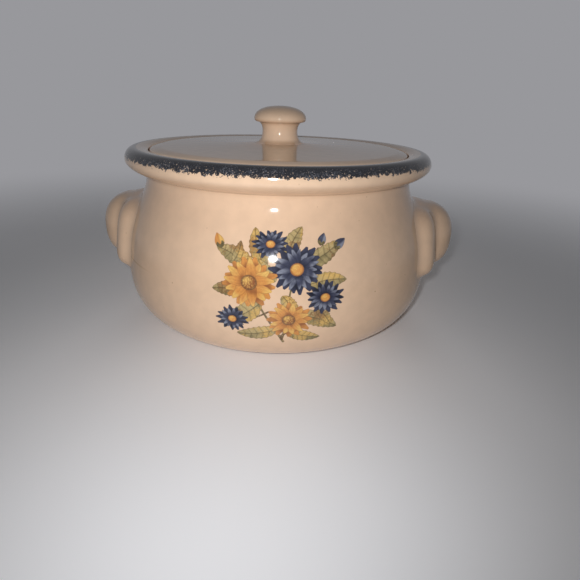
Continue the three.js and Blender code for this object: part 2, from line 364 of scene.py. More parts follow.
def body_profile(body):
    """Outline of the body's wall, as points (radius, height), from under the floor round to above it."""
    roll_height = body.rim_top - body.roll_drop
    crest = body.rim_radius - body.roll_width
    overhang = body.rim_radius - body.neck_radius
    lip = body.rim_top - body.lip_drop
    collar = cubic(
        (body.neck_radius, body.neck_height),
        (body.neck_radius + COVE_REACH * overhang,
         body.neck_height + COVE_RISE * (body.rim_top - body.neck_height)),
        (body.rim_radius, roll_height - COLLAR_HOLD * body.roll_drop),
        (body.rim_radius, roll_height),
    )
    roll = cubic(
        (body.rim_radius, roll_height), (body.rim_radius, roll_height + ROUND_HOLD * body.roll_drop),
        (crest + ROUND_HOLD * body.roll_width, body.rim_top), (crest, body.rim_top),
    )
    slope = cubic(
        (crest, body.rim_top), (crest - LIP_HOLD * body.roll_width, body.rim_top),
        (body.gallery_radius + LIP_EASE * body.roll_width, lip + LIP_RISE * body.lip_drop),
        (body.gallery_radius, lip),
    )
    inner = body.belly_radius - body.wall
    rise = body.neck_height - body.belly_height
    shoulder = cubic(
        (body.mouth_radius, body.neck_height),
        (body.mouth_radius, body.neck_height - NECK_HOLD * rise),
        (inner, body.belly_height + SHOULDER_HOLD * rise), (inner, body.belly_height),
    )
    corner = body.foot_radius - body.floor
    low = quarter(
        (corner, body.belly_height), inner - corner, body.floor - body.belly_height, body.lower_fullness
    )[::-1]
    ring = body.foot_radius - body.foot_width
    under = [(0, body.foot_recess), (ring - body.foot_recess, body.foot_recess), (ring, 0)]
    ledge = [(body.gallery_radius, body.ledge_height), (body.mouth_radius, body.ledge_height)]
    outside, floor = body_outside(body), [(0, body.floor)]
    return np.concatenate([under, outside, collar[1:], roll[1:], slope[1:], ledge, shoulder, low[1:], floor])


def lid_profile(lid, ledge):
    """Outline of the lid, from the hollow underneath, round the border and up the flat top to the middle."""
    side = (lid.radius, lid.edge_top - lid.rounding)
    border = (lid.radius - lid.border, lid.border_top)
    seat = KNOB_LOW.z
    rise = seat - lid.edge_top
    edge = cubic(
        side, (lid.radius, side[1] + ROUND_HOLD * lid.rounding),
        (lid.radius - BORDER_HOLD * lid.border, lid.edge_top), border,
    )
    top = cubic(
        border, (TOP_PLAIN[0] * lid.radius, lid.edge_top + TOP_PLAIN[1] * rise),
        (TOP_HOLLOW[0] * lid.radius, lid.edge_top + TOP_HOLLOW[1] * rise), (lid.knob_radius, seat),
    )
    under = [
        (0, ledge + lid.dish), (lid.seat_inner - lid.dish, ledge + lid.dish), (lid.seat_inner, ledge),
        (lid.radius - lid.rounding, ledge), (lid.radius, ledge + lid.rounding),
    ]
    return np.concatenate([under, edge, top[1:], [(0, seat)]])


def knob_profile(lid):
    """Outline of the knob: a foot that spreads onto the lid, a waisted stem and a domed cap."""
    seat, top = KNOB_LOW.z, KNOB_HIGH.z
    waist = seat + lid.waist_height
    cap = top - lid.cap_height
    under = (CAP_UNDER * lid.knob_radius, cap - lid.cap_edge)
    foot = cubic(
        (lid.knob_radius, seat),
        (FOOT_SPREAD[0] * lid.knob_radius, seat + FOOT_SPREAD[1] * lid.waist_height),
        (lid.knob_waist, waist - FOOT_HOLD * lid.waist_height), (lid.knob_waist, waist),
    )
    neck = cubic(
        (lid.knob_waist, waist), (lid.knob_waist, waist + STEM_HOLD * lid.waist_height),
        (STEM_FLARE * lid.knob_waist, under[1]), under,
    )
    edge = cubic(
        under, (under[0] + CAP_ROUND[0] * lid.knob_radius, under[1]),
        (lid.knob_radius, cap - CAP_ROUND[1] * lid.cap_edge), (lid.knob_radius, cap),
    )
    dome = quarter((0, cap), lid.knob_radius, lid.cap_height, lid.cap_fullness)[::-1]
    return np.concatenate([[(0, seat)], foot, neck[1:], edge[1:], dome[1:]])


def softened(points, softness, step=0.1 * MM):
    """Outline with every corner rounded: even points along it, each the Gaussian mean of its neighbours.
    Beyond the axis the outline is continued by its own mirror image."""
    run = np.concatenate([[0], np.cumsum(np.hypot(*np.diff(points, axis=0).T))])
    even = np.linspace(0, run[-1], int(run[-1] / step) + 1)
    dense = np.stack([np.interp(even, run, points[:, 0]), np.interp(even, run, points[:, 1])], 1)
    reach = int(4 * softness / step)
    mirror = np.array([-1, 1])
    padded = np.concatenate([dense[1:reach + 1][::-1] * mirror, dense, dense[-reach - 1:-1][::-1] * mirror])
    bell = np.exp(-0.5 * (np.arange(-reach, reach + 1) * step / softness) ** 2)
    smooth = np.stack([np.convolve(padded[:, k], bell / bell.sum(), "valid") for k in (0, 1)], 1)
    smooth[[0, -1], 0] = 0
    return smooth


def rows_of(outline, longest=2.6 * MM, sharpest=math.radians(5)):
    """Rows for a turned surface: more where the outline bends, by the sum of length and turning along it.
    Gives the rows, their distance along the outline and how hollow (+) or sharp (-) the outline is there."""
    step = np.diff(outline, axis=0)
    size = np.hypot(step[:, 0], step[:, 1])
    heading = np.unwrap(np.arctan2(step[:, 1], step[:, 0]))
    turning = np.concatenate([[0], np.diff(heading), [0]])
    run = np.concatenate([[0], np.cumsum(size)])
    measure = run / longest + np.cumsum(np.abs(turning)) / sharpest
    wanted = np.linspace(0, measure[-1], int(measure[-1]) + 2)
    reach = np.arange(-POOL_REACH, POOL_REACH + 1)
    bell = np.exp(-0.5 * (reach / POOL_SPREAD) ** 2)
    hollow = -np.convolve(turning, bell / bell.sum(), "same") / np.mean(size) * POOL_RADIUS
    along = np.interp(wanted, measure, run)
    rows = np.stack([np.interp(along, run, outline[:, k]) for k in (0, 1)], 1)
    rows[[0, -1], 0] = 0
    return rows, along, np.clip(np.interp(along, run, hollow), -1, 1)


def rings_of(rows, around):
    """Rings of points about the axis: a row (r, z) at angle a is the point (r cos a, r sin a, z)."""
    bearing = np.arange(around) * (2 * math.pi / around)
    return np.stack(np.broadcast_arrays(
        rows[:, :1] * np.cos(bearing), rows[:, :1] * np.sin(bearing), rows[:, 1:]
    ), 2).reshape(-1, 3)


def ring_faces(rings, around, flipped=False):
    """Faces over a first point, rings of points and a last point: quads between rings, a fan at each end."""
    number = 1 + np.arange(rings * around).reshape(rings, around)
    beside = np.roll(number, -1, 1)
    faces = [
        np.stack([number[:-1], beside[:-1], beside[1:], number[1:]], 2).reshape(-1, 4),
        np.stack([np.zeros(around, int), beside[0], number[0]], 1),
        np.stack([number[-1], beside[-1], np.full(around, 1 + rings * around)], 1),
    ]
    return [np.concatenate([f[:, :1], f[:, :0:-1]], 1) for f in faces] if flipped else faces


def turned(rows, segments):
    """Surface of revolution: its first and last row lie on the axis and are one point each.
    Gives points, faces and each point's row."""
    ring = rings_of(rows[1:-1], segments)
    points = np.concatenate([[(0, 0, rows[0, 1])], ring, [(0, 0, rows[-1, 1])]])
    row = np.concatenate([[0], np.repeat(np.arange(1, len(rows) - 1), segments), [len(rows) - 1]])
    return points, ring_faces(len(rows) - 2, segments), row


def make_piece(name, points, faces, values):
    """Mesh object from arrays of points and faces, with a value for each point in each named attribute."""
    corners = np.concatenate([f.ravel() for f in faces])
    sides = np.concatenate([np.full(len(f), f.shape[1]) for f in faces])
    mesh = bpy.data.meshes.new(name)
    mesh.vertices.add(len(points))
    mesh.vertices.foreach_set("co", np.ascontiguousarray(points, np.float32).ravel())
    mesh.loops.add(len(corners))
    mesh.loops.foreach_set("vertex_index", corners.astype(np.int32))
    mesh.polygons.add(len(sides))
    mesh.polygons.foreach_set("loop_start", np.concatenate([[0], np.cumsum(sides)[:-1]]).astype(np.int32))
    mesh.update(calc_edges=True)
    if mesh.validate():
        raise RuntimeError(f"the surface of {name} has broken faces")
    mesh.polygons.foreach_set("use_smooth", np.ones(len(sides), bool))
    for key, value in values.items():
        if np.ndim(value) == 1:
            mesh.attributes.new(key, "FLOAT", "POINT").data.foreach_set("value", value.astype(np.float32))
        else:
            filled = np.concatenate([value, np.ones((len(value), 1))], 1).astype(np.float32)
            mesh.attributes.new(key, "FLOAT_COLOR", "POINT").data.foreach_set("color", filled.ravel())
    piece = bpy.data.objects.new(name, mesh)
    bpy.context.scene.collection.objects.link(piece)
    return piece


def smooth_step(low, high, value):
    """0 below low, 1 above high, and 3t^2 - 2t^3 between them."""
    t = np.clip((value - low) / (high - low), 0, 1)
    return t * t * (3 - 2 * t)


def blended(first, second, reach):
    """Smooth union of two distances: the smaller one, lowered by reach h(1-h) where they come near."""
    h = np.clip(0.5 + 0.5 * (second - first) / reach, 0, 1)
    return second + (first - second) * h - reach * h * (1 - h)


def lobe_distance(across, fullness, sizes):
    """Distance to a superellipsoid along the line from its middle: |p| (1 - 1/q), where q is
    the n-th root of the sum of |p/size|^n."""
    ratio = sum(np.abs(a / s) ** fullness for a, s in zip(across, sizes)) ** (1 / fullness)
    return np.sqrt(sum(a * a for a in across)) * (1 - 1 / np.maximum(ratio, 1e-9))


def lug_distances(lug, x, y, z):
    """Distances from points to the grip's lobe and to the pad's leaning, tapered lobe, on the +X side."""
    rise = z - lug.height
    out = x - (lug.grip_crest - lug.grip_depth)
    grip = lobe_distance(
        (out, y, rise), lug.grip_fullness, (lug.grip_depth, lug.grip_width / 2, lug.grip_height / 2)
    )
    back = x - (lug.pad_crest - lug.pad_depth)
    lean_out = back * math.cos(lug.pad_lean) + rise * math.sin(lug.pad_lean)
    lean_up = rise * math.cos(lug.pad_lean) - back * math.sin(lug.pad_lean)
    narrow = 1 - lug.pad_taper * np.clip(lean_up / (lug.pad_height / 2), -TAPER_END, TAPER_END)
    pad = lobe_distance(
        (lean_out, y / narrow, lean_up), lug.pad_fullness,
        (lug.pad_depth, lug.pad_width / 2, lug.pad_height / 2),
    )
    return grip, pad


def lug_surface(lug, body, around=288, rings=200):
    """Star-shaped surface: along each line from a point inside the lug, the first place where the smooth
    union of grip, pad and belly ends. Behind the belly's skin it is closed off inside the wall.
    The lines are set by the angle from +X and the turn about X. Gives points, faces and the groove's pooled
    glaze, which also paints the groove's shade."""
    outside = body_outside(body)
    slope = np.gradient(outside[:, 0]) / np.maximum(np.gradient(outside[:, 1]), 1e-6)
    heart = np.array([np.interp(lug.height, outside[:, 1], outside[:, 0]) + LUG_HEART, 0, lug.height])
    share = np.linspace(0, 1, rings + 2)[1:-1]
    tilt = math.pi * (LUG_LINES[0] * share + LUG_LINES[1] * share ** 3)[:, None]
    turn = (np.arange(around) * (2 * math.pi / around))[None, :]
    line = np.stack(np.broadcast_arrays(
        np.cos(tilt), np.sin(tilt) * np.cos(turn), np.sin(tilt) * np.sin(turn)
    ), 2).reshape(-1, 3)
    line = np.concatenate([[(1, 0, 0)], line, [(-1, 0, 0)]])

    def depth(run):
        x, y, z = (heart + line * run[:, None]).T
        grip, pad = lug_distances(lug, x, y, z)
        lobes = blended(grip, pad, lug.groove_blend)
        steep = np.interp(z, outside[:, 1], slope)
        skin = (np.hypot(x, y) - np.interp(z, outside[:, 1], outside[:, 0])) / np.sqrt(1 + steep ** 2)
        joined = blended(lobes, skin + LUG_BITE, lug.belly_blend)
        root = np.maximum(lobes - FILLET_END * lug.belly_blend, -(skin + ROOT_DEPTH * body.wall))
        return np.maximum(joined, root), grip, pad

    near = np.zeros(len(line))
    open_line = np.ones(len(line), bool)
    for _ in range(LUG_STEPS):
        open_line &= depth(near + LUG_STRIDE)[0] < 0
        near = np.where(open_line, near + LUG_STRIDE, near)
    far = near + LUG_STRIDE
    for _ in range(LUG_HALVINGS):
        middle = (near + far) / 2
        inside = depth(middle)[0] < 0
        near, far = np.where(inside, middle, near), np.where(inside, far, middle)
    _, grip, pad = depth(near)
    # Painted shade: the groove between grip and pad is darkened with the pooled glaze's colour.
    groove = np.clip(1 - (np.abs(grip) + np.abs(pad)) / (GROOVE_POOL_AND_SHADE * lug.groove_blend), 0, 1)
    return heart + line * near[:, None], ring_faces(rings, around, flipped=True), groove


# Painted spray.

def cloud(u, v, grain, seed):
    """Smooth random field from 0 to 1: random values on a lattice, blended by 3t^2 - 2t^3 in each cell."""
    lattice = np.random.default_rng(seed).random(LATTICE)
    a, b = u / grain + LATTICE_START, v / grain + LATTICE_START
    i, j = np.floor(a).astype(int), np.floor(b).astype(int)
    x, y = smooth_step(0, 1, a - i), smooth_step(0, 1, b - j)

    def corner(p, q):
        return lattice[(i + p) % LATTICE[0], (j + q) % LATTICE[1]]

    low = corner(0, 0) * (1 - x) + corner(1, 0) * x
    high = corner(0, 1) * (1 - x) + corner(1, 1) * x
    return low * (1 - y) + high * y


def mixed(first, second, share):
    """Paint between two paints, point by point."""
    share = np.clip(share, 0, 1)[..., None]
    return np.asarray(first) * (1 - share) + np.asarray(second) * share


def layered(paint, *layers):
    """Paint with other paints mixed over it in turn, each by its share."""
    for other, share in layers:
        paint = mixed(paint, other, share)
    return paint


def within(edge):
    """Cover of a painted shape, from the distance inside its edge."""
    return smooth_step(*PAINT_EDGE, edge)


class Painting:
    """Paint and cover at each point (u, v) of a patch, in millimetres from the patch's middle."""

    def __init__(self, u, v, spray, ground):
        self.u, self.v, self.spray = u, v, spray
        self.paint = np.broadcast_to(np.array(ground), u.shape + (3,)).copy()
        self.cover = np.zeros(u.shape)
        self.fine = cloud(u, v, 0.55, 3)
        self.soft = cloud(u, v, 2.6, 5)
        self.wide = cloud(u, v, 7.0, 7)
        self.warm = cloud(u, v, 8.0, 17)

    def lay(self, paint, mask):
        """Lays paint over what is there, as much as the mask says."""
        self.paint = mixed(self.paint, paint, mask)
        self.cover = self.cover + mask - self.cover * mask

    def turned_to(self, x, y, degrees, squash=1.0):
        """Places along and across a direction from the point (x, y), with the height squashed first."""
        a = math.radians(degrees)
        right, up = self.u - x, (self.v - y) / squash
        return right * math.cos(a) + up * math.sin(a), up * math.cos(a) - right * math.sin(a)

    def stem(self, start, leaving, arriving, end, thick, thin):
        """Stem: points nearer to a cubic curve than a thickness that shrinks along it."""
        path = cubic(start, leaving, arriving, end, 90)
        away = np.full(self.u.shape, 1e9)
        share = np.zeros(self.u.shape)
        for k, (x, y) in enumerate(path):
            gap = np.hypot(self.u - x, self.v - y)
            nearer = gap < away
            away, share = np.where(nearer, gap, away), np.where(nearer, k / len(path), share)
        half = thick + (thin - thick) * share
        paint = layered(
            self.spray.bark, (self.spray.olive, share + 0.5 * (self.soft - 0.5)),
            (self.spray.moss, 0.7 * smooth_step(0.45, 1.0, away / half)),
            (self.spray.khaki, 0.45 * smooth_step(0.55, 0.8, self.fine)),
        )
        self.lay(paint, 1 - smooth_step(half - 0.12, half + 0.12, away))

    def leaf(self, x, y, degrees, long, wide, bend, tone):
        """Leaf with a toothed edge: its half width goes as s^0.55 (1-s)^0.75 along it."""
        along, across = self.turned_to(x, y, degrees)
        s = np.clip(along / long, 0, 1)
        across = across - bend * 4 * s * (1 - s)
        teeth = np.abs(2 * ((s * 8) % 1) - 1)
        half = wide * 0.9 * s ** 0.55 * (1 - s) ** 0.75 * (1 - 0.13 * teeth)
        edge = half - np.abs(across)
        vein = (s * 7 - np.abs(across) / wide * 1.6) % 1
        lit = 0.5 + 0.30 * np.sign(across) * math.cos(math.radians(degrees)) + 0.9 * (self.soft - 0.5)
        stipple = 0.5 * (self.fine - 0.5)
        paint = layered(
            self.spray.olive, (self.spray.khaki, lit + tone),
            (self.spray.gold, 0.75 * smooth_step(0.50, 0.80, self.wide + stipple)),
            (self.spray.russet, 0.55 * smooth_step(0.55, 0.85, self.warm + stipple)),
            (self.spray.moss, 0.45 * np.exp(-((vein - 0.5) / 0.11) ** 2)),
            (self.spray.moss, 0.75 * np.exp(-(across / 0.28) ** 2)),
            (self.spray.moss, 0.7 * smooth_step(0.6, 0.05, edge) + 0.5 * (self.fine - 0.42)),
        )
        self.lay(paint, within(edge) * (s > 0) * (s < 1))

    def petals(self, x, y, size, count, turn, squash, slim, paints, seed):
        """Ring of wavy petals, laid in random order: the half width goes as the sine of s^0.72 along each."""
        chance = np.random.default_rng(seed)
        base, middle, tip, dark = paints
        for k in chance.permutation(count):
            long = size * (0.9 + 0.16 * chance.random())
            heading = turn + 360 * k / count + 8 * (chance.random() - 0.5)
            along, across = self.turned_to(x, y, heading, squash)
            s = np.clip(along / long, 0, 1)
            across = across - 0.05 * size * np.sin(3.1 * s + 6 * chance.random())
            half = slim * size * np.sin(math.pi * s ** 0.72 * 0.93 + 0.07) ** 0.8
            half = half * (1 - 0.10 * np.abs(np.sin(9 * s + k)))
            edge = half - np.abs(across)
            tone = 0.24 * (chance.random() - 0.5)
            streak = 0.5 + 0.5 * np.cos(across * (5.2 / max(slim * size, 0.5)) * 2.2 + 1.4 * self.soft)
            paint = layered(
                base, (middle, smooth_step(0.12, 0.55, s + 0.25 * (self.soft - 0.5) + tone)),
                (tip, smooth_step(0.5, 1.0, s + 0.4 * (self.soft - 0.5) + tone)),
                (dark, 0.28 * streak * (1 - 0.5 * s) + 0.30 * (self.fine - 0.5)),
                (dark, 0.72 * smooth_step(0.5, 0.0, edge)),
            )
            self.lay(paint, within(edge) * (along > 0) * (along < long))

    def disc(self, x, y, size, squash, paints):
        """Flower disc: stippled, lighter at its upper left, dark at its edge."""
        base, light, dark = paints
        right, up = self.u - x, (self.v - y) / squash
        gap = np.hypot(right, up) / size
        glow = smooth_step(0.9, 0.0, np.hypot(right + 0.35 * size, up - 0.35 * size) / size)
        dots = smooth_step(0.48, 0.72, cloud(self.u, self.v, 0.42, 11))
        paint = layered(
            base, (light, 0.65 * glow + 0.55 * dots),
            (dark, 0.85 * smooth_step(0.62, 1.0, gap) + 0.3 * (self.fine - 0.5)),
        )
        self.lay(paint, 1 - smooth_step(0.93, 1.07, gap))

    def bud(self, x, y, degrees, long, wide, paints):
        """Bud: a drop whose half width goes as the sine of s^0.8, in a small green cup."""
        base, light, dark = paints
        along, across = self.turned_to(x, y, degrees)
        s = np.clip(along / long, 0, 1)
        edge = wide * np.sin(math.pi * s ** 0.8) ** 0.85 - np.abs(across)
        paint = layered(
            base, (light, smooth_step(0.2, -0.6, across / wide) + 0.4 * (self.soft - 0.5)),
            (dark, 0.4 * (0.5 + 0.5 * np.cos(across / wide * 9)) * s),
            (dark, 0.7 * smooth_step(0.45, 0.0, edge)),
        )
        self.lay(paint, within(edge) * (along > 0) * (along < long))
        cup = within(edge + 0.15) * (along > -0.05 * long)
        cup = cup * (1 - smooth_step(0.30, 0.36, s + 0.10 * np.cos(across / wide * 6)))
        self.lay(mixed(self.spray.olive, self.spray.moss, self.fine + 0.4 * smooth_step(0.4, 0.0, edge)), cup)


def paint_spray(art):
    """Paints a full spray of garden flowers: stems, leaves and buds first, then dark asters and gold daisies.
    Places and sizes are in millimetres of the patch, and turns in degrees."""
    spray = art.spray
    for path, thick, thin in (
        (((3, -35), (-3, -22), (-12, -12), (-17, 3)), 0.85, 0.55),
        (((2, -33), (6, -20), (4, -4), (10, 11)), 0.8, 0.5),
        (((2, -30), (12, -22), (20, -16), (27, -6)), 0.7, 0.45),
        (((10, 11), (18, 17), (24, 20), (32, 22)), 0.6, 0.35),
        (((-17, 3), (-24, 10), (-29, 16), (-33, 22)), 0.55, 0.3),
        (((-6, -14), (-14, -19), (-20, -20), (-27, -20)), 0.6, 0.4),
    ):
        art.stem(*path, thick, thin)
    for x, y, turn, long, wide, bend, tone in (
        (-10, -8, 212, 26, 17, 1.6, 0.10), (-14, 10, 152, 25, 16, -1.7, 0.25),
        (-8, 12, 104, 23, 14, 1.5, 0.05), (4, 16, 66, 21, 14, 1.3, 0.20),
        (14, 14, 30, 25, 15, -1.5, 0.10), (16, 2, 4, 24, 14, 1.4, 0.30),
        (12, -16, -22, 25, 15, 1.5, 0.05), (0, -25, 190, 25, 13, 1.5, 0.30),
        (4, -26, -16, 22, 12, -1.3, 0.15), (-20, -3, 178, 19, 13, -1.2, 0.0),
        (2, -4, 300, 17, 12, 1.0, 0.15), (-2, 4, 128, 16, 12, 1.0, 0.30),
        (22, -12, -52, 15, 9, 1.0, 0.2), (-26, 14, 70, 13, 8, -0.9, 0.15),
    ):
        art.leaf(x, y, turn, long, wide, bend, tone)
    gold_bud = (spray.orange, spray.gold, spray.russet)
    dark_bud = (spray.slate, spray.mist, spray.ink)
    art.bud(-33, 21, 112, 9.0, 3.0, gold_bud)
    art.bud(31.5, 22, 38, 8.6, 2.9, dark_bud)
    art.bud(23, 24, 72, 7.6, 2.5, dark_bud)
    for x, y, size, count, turn, squash, seed in (
        (27, -6, 11.5, 15, 20, 0.90, 22), (-5, 25, 10.4, 15, 3, 0.82, 23),
        (-27, -20, 10.0, 13, 14, 0.86, 24), (10, 11, 15.4, 17, 8, 0.95, 21),
    ):
        outer = (spray.ink, spray.ink, spray.slate, spray.ink)
        inner = (spray.ink, spray.slate, spray.mist, spray.ink)
        art.petals(x, y, size, count, turn, squash, 0.21, outer, seed)
        art.petals(x, y, 0.80 * size, count, turn + 11, squash, 0.19, inner, seed + 40)
        art.disc(x, y, 0.25 * size, squash, (spray.orange, spray.gold, spray.russet))
    for x, y, size, count, turn, squash, seed in (
        (6, -19, 13.4, 12, 17, 0.86, 32), (-17, 3, 15.8, 13, 5, 0.95, 31),
    ):
        outer = (spray.russet, spray.russet, spray.orange, spray.russet)
        inner = (spray.russet, spray.orange, spray.gold, spray.russet)
        art.petals(x, y, size, count, turn + 14, squash, 0.24, outer, seed)
        art.petals(x, y, 0.90 * size, count, turn, squash, 0.23, inner, seed + 40)
        art.disc(x, y, 0.29 * size, squash, (spray.russet, spray.gold, spray.bark))


def spray_surface(spray, body, ground):
    """Patch of the belly's own surface: u runs round the pot at the true radius and v along the outline, both
    from the spray's middle, lifted along the normal. Only painted faces are kept.
    Gives points, faces and values."""
    outline = softened(body_profile(body), body.softness)
    upward = outline[: int(np.argmax(outline[:, 1]))]
    run = np.concatenate([[0], np.cumsum(np.hypot(*np.diff(upward, axis=0).T))])
    start = int(np.argmax(upward[:, 0] > body.foot_radius))
    middle = np.interp(spray.height, upward[start:, 1], run[start:])
    u = np.linspace(-0.5, 0.5, int(spray.width / spray.step)) * spray.width
    v = np.linspace(-0.5, 0.5, int(spray.rise / spray.step)) * spray.rise
    radius = np.interp(middle + v, run, upward[:, 0])
    height = np.interp(middle + v, run, upward[:, 1])
    climb = np.stack([np.gradient(radius, v), np.gradient(height, v)], 1)
    climb /= np.linalg.norm(climb, axis=1, keepdims=True)
    radius, height = radius + spray.lift * climb[:, 1], height - spray.lift * climb[:, 0]
    bearing = spray.bearing + u[None, :] / radius[:, None]
    points = np.stack(np.broadcast_arrays(
        radius[:, None] * np.cos(bearing), radius[:, None] * np.sin(bearing), height[:, None]
    ), 2)
    art = Painting(*np.broadcast_arrays(u[None, :] / MM, v[:, None] / MM), spray, ground)
    paint_spray(art)
    number = np.arange(points[..., 0].size).reshape(points.shape[:2])
    corners = [number[:-1, :-1], number[:-1, 1:], number[1:, 1:], number[1:, :-1]]
    quads = np.stack(corners, 2).reshape(-1, 4)
    kept = quads[(art.cover.ravel()[quads] > LEAST_COVER).any(1)]
    used, renamed = np.unique(kept, return_inverse=True)
    values = {"cover": art.cover.ravel()[used], "paint": art.paint.reshape(-1, 3)[used]}
    return points.reshape(-1, 3)[used], [renamed.reshape(-1, 4)], values


# Materials.

def add(tree, kind, settings=None, inputs=None):
    """Adds a node; an input takes a value, or a socket that is linked to it."""
    made = tree.nodes.new(kind)
    for key, value in (settings or {}).items():
        setattr(made, key, value)
    for key, value in (inputs or {}).items():
        if isinstance(value, bpy.types.NodeSocket):
            tree.links.new(value, made.inputs[key])
        else:
            made.inputs[key].default_value = value
    return made


def calc(tree, operation, first, second=0.0, clamp=False):
    """Number worked out from two numbers or sockets."""
    return add(
        tree, "ShaderNodeMath", {"operation": operation, "use_clamp": clamp}, {0: first, 1: second}
    ).outputs[0]


def ramp(tree, value, low, high, start=0.0, end=1.0):
    """Smooth step of a value between two limits."""
    return add(
        tree, "ShaderNodeMapRange", {"interpolation_type": "SMOOTHSTEP"},
        {"Value": value, "From Min": low, "From Max": high, "To Min": start, "To Max": end},
    ).outputs["Result"]


def shade(tree, share, first, second):
    """Colour between two colours."""
    return add(
        tree, "ShaderNodeMix", {"data_type": "RGBA"}, {"Factor": share, 6: first, 7: second}
    ).outputs[2]


def noise(tree, where, scale, detail=2.0, rough=0.5):
    """Cloudy value from 0 to 1 at a place."""
    return add(
        tree, "ShaderNodeTexNoise", None,
        {"Vector": where, "Scale": scale, "Detail": detail, "Roughness": rough},
    ).outputs[0]


def brightened(tree, tone, value):
    """Colour made lighter or darker."""
    return add(tree, "ShaderNodeHueSaturation", None, {"Value": value, "Color": tone}).outputs["Color"]


def own_place(tree):
    """Place of a point in the piece's own coordinates."""
    return add(tree, "ShaderNodeTexCoord").outputs["Object"]


def far_out(tree, where):
    """Distance of a place from the origin."""
    return add(tree, "ShaderNodeVectorMath", {"operation": "LENGTH"}, {0: where}).outputs["Value"]


def empty_tree(owner):
    """Node tree of a material or a world, without the nodes that it starts with."""
    owner.use_nodes = True
    owner.node_tree.nodes.clear()
    return owner.node_tree


def rgba(value):
    """Colour with full cover."""
    return (*value, 1.0)


def value_of(tree, key, output="Fac"):
    """A piece's own attribute."""
    return add(tree, "ShaderNodeAttribute", {"attribute_name": key}).outputs[output]


def glaze_group():
    """Tan glaze: tone that drifts slowly, thicker and darker in hollows, thinner and paler over edges, with
    fine iron specks. Its pooling input also carries painted shade in the lugs' groove and painted light on
    the knob's stem. Gives its colour, its roughness and the height of its faint orange-peel."""
    found = bpy.data.node_groups.get("Tan glaze")
    if found:
        return found
    group = bpy.data.node_groups.new("Tan glaze", "ShaderNodeTree")
    for way, kind, keys in (
        ("INPUT", "NodeSocketColor", ("Glaze", "Pooled", "Thin", "Speck")),
        ("INPUT", "NodeSocketFloat", ("Pool_and_painted_light",)),
        ("OUTPUT", "NodeSocketColor", ("Color",)),
        ("OUTPUT", "NodeSocketFloat", ("Roughness", "Height")),
    ):
        for key in keys:
            group.interface.new_socket(key, in_out=way, socket_type=kind)
    given = group.nodes.new("NodeGroupInput").outputs
    where = own_place(group)
    drift = noise(group, where, 13.0, 3.0)
    mottle = noise(group, where, 130.0, 3.0)
    # Darker where glaze pools and where shade is painted in the lugs' groove; paler where glaze thins and
    # where light is painted on the knob's stem.
    thick = calc(
        group, "ADD", ramp(group, given["Pool_and_painted_light"], 0.3, 1.0, 0.0, 0.16), ramp(group, drift, 0.5, 0.8, 0.0, 0.10)
    )
    bare = calc(group, "MULTIPLY", given["Pool_and_painted_light"], -1.0)
    lean = calc(group, "ADD", ramp(group, bare, 0.15, 1.0), ramp(group, drift, 0.5, 0.25, 0.0, 0.12), True)
    tone = shade(group, thick, given["Glaze"], given["Pooled"])
    tone = shade(group, calc(group, "MULTIPLY", lean, 0.8), tone, given["Thin"])
    cells = add(
        group, "ShaderNodeTexVoronoi", {"feature": "F1"}, {"Vector": where, "Scale": 170.0}
    ).outputs["Distance"]
    dots = calc(group, "MULTIPLY", ramp(group, cells, 0.10, 0.05), ramp(group, mottle, 0.50, 0.62, 0.0, 0.55))
    tone = shade(group, dots, tone, given["Speck"])
    tone = brightened(group, tone, ramp(group, mottle, 0.25, 0.75, 0.965, 1.035))
    peel = calc(group, "MULTIPLY", noise(group, where, 420.0, 1.0), 0.18)
    height = calc(group, "ADD", noise(group, where, 55.0, 2.0), peel)
    made = group.nodes.new("NodeGroupOutput")
    group.links.new(tone, made.inputs["Color"])
    group.links.new(ramp(group, mottle, 0.3, 0.7, 0.055, 0.10), made.inputs["Roughness"])
    group.links.new(height, made.inputs["Height"])
    return group


def glaze_nodes(material, glaze):
    """Places the glaze in a material. Gives its tree, shader, colour, roughness and height."""
    tree = empty_tree(material)
    shader = add(tree, "ShaderNodeBsdfPrincipled", None, {"IOR": 1.52})
    out = add(tree, "ShaderNodeOutputMaterial")
    tree.links.new(shader.outputs[0], out.inputs["Surface"])
    coat = add(tree, "ShaderNodeGroup", {"node_tree": glaze_group()}, {
        "Glaze": rgba(glaze.tan), "Pooled": rgba(glaze.pooled), "Thin": rgba(glaze.thin),
        "Speck": rgba(glaze.speck), "Pool_and_painted_light": value_of(tree, "pool_and_painted_light"),
    }).outputs
    return tree, shader, coat["Color"], coat["Roughness"], coat["Height"]


def close_material(tree, shader, tone, rough, height, depth=0.25 * MM, strength=0.12):
    """Links the worked-out colour, roughness and height to the shader."""
    bump = add(tree, "ShaderNodeBump", None, {"Strength": strength, "Distance": depth, "Height": height})
    for key, socket in (("Base Color", tone), ("Roughness", rough), ("Normal", bump.outputs[0])):
        tree.links.new(socket, shader.inputs[key])


def bare_clay(tree, glaze, tone, rough):
    """Shows unglazed clay, grainy and dull, where the attribute `bare` says so."""
    where = own_place(tree)
    grain = noise(tree, where, 900.0, 3.0, 0.7)
    spotted = calc(tree, "ADD", value_of(tree, "bare"), calc(tree, "MULTIPLY", grain, 0.2))
    share = ramp(tree, spotted, 0.5, 0.65)
    clay = brightened(tree, rgba(glaze.clay), ramp(tree, grain, 0.3, 0.7, 0.86, 1.08))
    dull = calc(tree, "ADD", calc(tree, "MULTIPLY", share, 0.55), rough)
    return shade(tree, share, tone, clay), dull


